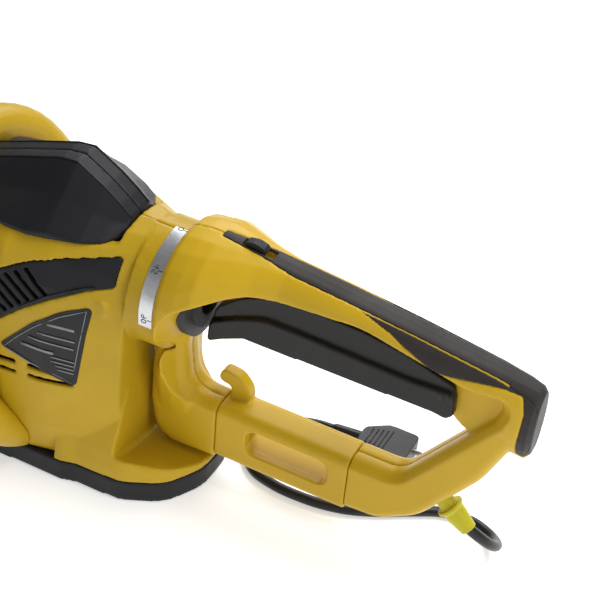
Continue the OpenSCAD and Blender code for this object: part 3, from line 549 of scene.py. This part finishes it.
def make_vent_details():
    """A dark sheet inside the housing behind the louvres, as painted shade in the vents, and a lip
    along the insert's lower edge.
    """
    across, high = SHADE_SHEET_CELLS
    for side, name in ((1, "left"), (-1, "right")):
        verts, faces = [], []
        for j in range(high + 1):
            for i in range(across + 1):
                x, z = SHADE_SHEET_X + SHADE_SHEET_LONG * i / across, SHADE_SHEET_Z + SHADE_SHEET_TALL * j / high
                deep = SHADE_SHEET_DEEP + SHADE_SHEET_RIPPLE * math.sin(i * 1.7) * math.sin(j * 2.1)
                verts.append(at(x, -side * (shell_half_width(x, z) - deep), z))
        for j in range(high):
            for i in range(across):
                k = j * (across + 1) + i
                quad = (k, k + 1, k + across + 2, k + across + 1)
                faces.append(quad if side > 0 else quad[::-1])
        # The dark sheet is painted shade seen through the louvres.
        data = mesh_from(f"vent_shade_sheet_{name}", verts, faces)
        piece(f"vent_shade_sheet_{name}", data, "tool", MATERIALS["black_shell"])
    lip = [on_side(x, z, LIP_OUT) for x, z in LIP_PATH]
    tube("vent_lip", lip, LIP_R, "tool", MATERIALS["black_shell"])


# [x, z] along the cover's top, as in the CAD source
COVER_TOP = [(-146, 45.5), (-112, 58), (-84, 67.5), (-72, 69), (-53, 58), (-42, 50), (-34, 43)]
COVER_STRIP = 10
GROOVE_UP = 0.05
GROOVE_R = 0.45


def make_cover_seams():
    """The dark groove between the cover's top strip and its side facets."""
    for side, name in ((-1, "left"), (1, "right")):
        line = [at(x, side * COVER_STRIP, z + GROOVE_UP) for x, z in COVER_TOP]
        path = [p for a, b in zip(line, line[1:]) for p in (a, a.lerp(b, 0.5))] + line[-1:]
        tube(f"cover_groove_{name}", path, GROOVE_R, "tool",
             MATERIALS["mark_black"], 8, 0)


RING_R = 41.0
INK_OUT = 0.12
INK_THICK = 0.05
STROKE = 0.5
TICK = (0.9, 3.6)
DIGIT_START = 4.0
DIGIT_SIZE = 2.7
DIGIT_TALL = 0.8
DIGIT_PITCH = 1.25
DIGIT_HALF = 0.6


def on_ring(along, turn):
    """A place on the scale ring: mm from its rear edge forwards, and degrees from the top."""
    a = math.radians(turn)
    return at(-along, -(RING_R + INK_OUT) * math.sin(a), (RING_R + INK_OUT) * math.cos(a))


def ring_stroke(name, points):
    """A printed stroke on the ring through (along, degrees) points."""
    path = [Vector((p[0], math.radians(p[1]) * RING_R)) for p in points]
    verts, faces = [], []
    for i, p in enumerate(path):
        t = (path[min(i + 1, len(path) - 1)] - path[max(i - 1, 0)]).normalized()
        n = Vector((-t[1], t[0])) * STROKE / 2
        for q in (p + n, p - n):
            verts.append(on_ring(q[0], math.degrees(q[1] / RING_R)))
    for i in range(len(path) - 1):
        faces.append((2 * i, 2 * i + 1, 2 * i + 3, 2 * i + 2))
    data = mesh_from(name, verts, faces)
    obj = piece(name, data, "tool", MATERIALS["mark_black"])
    solid = obj.modifiers.new("ink", "SOLIDIFY")
    solid.thickness = INK_THICK * MM


# Strokes of the digits, in a cell one unit wide and 1.6 high
DIGITS = {
    "0": [[(math.cos(a * math.pi / 8) * 0.45 + 0.5, math.sin(a * math.pi / 8) * 0.75 + 0.8)
           for a in range(17)]],
    "4": [[(0.75, 0.0), (0.75, 1.6), (0.05, 0.5), (1.0, 0.5)]],
    "5": [[(0.9, 1.6), (0.2, 1.6), (0.12, 0.9), (0.6, 0.98), (0.92, 0.6), (0.75, 0.12),
           (0.4, 0.0), (0.05, 0.15)]],
    "9": [[(0.92, 1.15), (0.75, 1.5), (0.4, 1.6), (0.1, 1.25), (0.2, 0.85), (0.6, 0.75),
           (0.92, 1.1), (0.85, 0.5), (0.5, 0.0)]],
}


def make_scale_marks():
    """Ticks and plain numbers at 0, 45 and 90 degrees."""
    size = DIGIT_SIZE
    for number, turn in (("0", 1.5), ("45", 45), ("90", 90)):
        ring_stroke(f"tick_{number}", [(along, turn) for along in TICK])
        start = turn - math.degrees(size * DIGIT_HALF * len(number) / RING_R)
        for k, digit in enumerate(number):
            for j, stroke in enumerate(DIGITS[digit]):
                shift = math.degrees(k * size * DIGIT_PITCH / RING_R)
                points = [(DIGIT_START + y * size * DIGIT_TALL,
                           start + shift + math.degrees(x * size / RING_R)) for x, y in stroke]
                ring_stroke(f"digit_{number}_{k}_{j}", points)


CAP_SIDES = 28


def disc(name, centre, normal, radius, thick, body, material):
    """A small round cap with a bevelled rim."""
    sides = CAP_SIDES
    n = Vector(normal).normalized()
    u = n.cross(Vector((0.2, 0.1, 1))).normalized()
    v = n.cross(u)
    rings = ((0.0, 1.0), (0.7, 1.0), (1.0, 0.82))
    verts = [centre + (u * math.cos(a) + v * math.sin(a)) * radius * MM * k + n * thick * MM * h
             for h, k in rings for a in (2 * math.pi * i / sides for i in range(sides))]
    faces = [tuple(range(sides - 1, -1, -1)), tuple(range(2 * sides, 3 * sides))]
    for j in range(2):
        for i in range(sides):
            q = (i + 1) % sides
            faces.append((j * sides + i, j * sides + q, (j + 1) * sides + q, (j + 1) * sides + i))
    return piece(name, mesh_from(name, verts, faces, False), body, material)


TRIGGER_PIN = (171, 1)
CAP_OUT = 11.15
CAP_R = 2.4
CAP_THICK = 0.25
PLUG_AT = (78, 71, -135.5)
PLUG_RIBS = 5
RIB_START, RIB_PITCH = 26, 3.2
RIB_REACH, RIB_FLARE = 8.0, 1.0
RIB_UP = 7.45
RIB_R = 0.5


def make_small_parts():
    """Caps over the trigger's pin, and grip ribs on the plug."""
    for side, name in ((-1, "left"), (1, "right")):
        centre = at(TRIGGER_PIN[0], side * CAP_OUT, TRIGGER_PIN[1])
        disc(f"pin_cap_{name}", centre, (0, side, 0), CAP_R, CAP_THICK, "trigger",
             MATERIALS["trigger_black"])
    x, y, z = PLUG_AT
    for k in range(PLUG_RIBS):
        reach = RIB_REACH + RIB_FLARE * k
        across = [at(x + RIB_START + RIB_PITCH * k, y + side * reach, z + RIB_UP)
                  for side in (-1, 1)]
        tube(f"plug_rib_{k}", [across[0], across[0].lerp(across[1], 0.5), across[1]], RIB_R,
             "rear_handle", MATERIALS["lead_rubber"], 8, 0)


make_small_parts()
make_label_print()
make_vent_details()
make_cover_seams()
make_scale_marks()


# ---------- Floor and light ----------

FLOOR_HALF = 6.0
FLOOR_STEPS = 24
FLOOR_Z = -0.0006
WORLD_STRENGTH = 0.2
# name: place, size and power
LIGHTS = {
    "top_box": ((0.9, 0.5, 1.9), (1.5, 1.1), 34),
    "far_box": ((-0.15, 1.9, 1.35), (1.8, 0.9), 26),
    "right_box": ((2.0, -0.5, 0.9), (1.1, 0.9), 10),
    "front_fill": ((0.5, -1.9, 0.9), (1.6, 1.0), 5),
}


def make_floor():
    size, steps = FLOOR_HALF, FLOOR_STEPS
    verts = [(-size + 2 * size * i / steps, -size + 2 * size * j / steps, FLOOR_Z)
             for j in range(steps + 1) for i in range(steps + 1)]
    faces = [(j * (steps + 1) + i, j * (steps + 1) + i + 1, (j + 1) * (steps + 1) + i + 1,
              (j + 1) * (steps + 1) + i) for j in range(steps) for i in range(steps)]
    n = Nodes("studio_paper")
    n.join(n.mix(n.spread(n.noise(3, 3), 0.3, 0.7), (0.90, 0.90, 0.90), (0.94, 0.94, 0.94)),
           n.shader.inputs["Base Color"])
    n.join(n.spread(n.noise(40, 3), 0.3, 0.7, 0.85, 0.95), n.shader.inputs["Roughness"])
    n.bump([(n.noise(900, 3), 0.05, 0.0002)])
    n.constant(Specular_IOR_Level=0.1, Emission_Color=(1.0, 1.0, 1.0, 1.0),
               Emission_Strength=0.42)
    floor = bpy.data.objects.new("studio_floor", mesh_from("studio_floor", verts, faces))
    floor.data.materials.append(n.material)
    bpy.context.scene.collection.objects.link(floor)


def area_light(name, place, target, size, power):
    data = bpy.data.lights.new(name, "AREA")
    data.shape = "RECTANGLE"
    data.size, data.size_y = size
    data.energy = power
    obj = bpy.data.objects.new(name, data)
    obj.location = place
    aim = Vector(target) - Vector(place)
    obj.rotation_mode = "QUATERNION"
    obj.rotation_quaternion = aim.to_track_quat("-Z", "Y")
    bpy.context.scene.collection.objects.link(obj)


def make_light():
    world = bpy.data.worlds.new("studio")
    world.use_nodes = True
    back = world.node_tree.nodes["Background"]
    back.inputs["Color"].default_value = (1.0, 1.0, 1.0, 1)
    back.inputs["Strength"].default_value = WORLD_STRENGTH
    bpy.context.scene.world = world
    target = at(40, 0, -20)
    for name, (place, size, power) in LIGHTS.items():
        area_light(name, place, target, size, power)


make_floor()
make_light()
bpy.context.scene.view_settings.view_transform = "Standard"
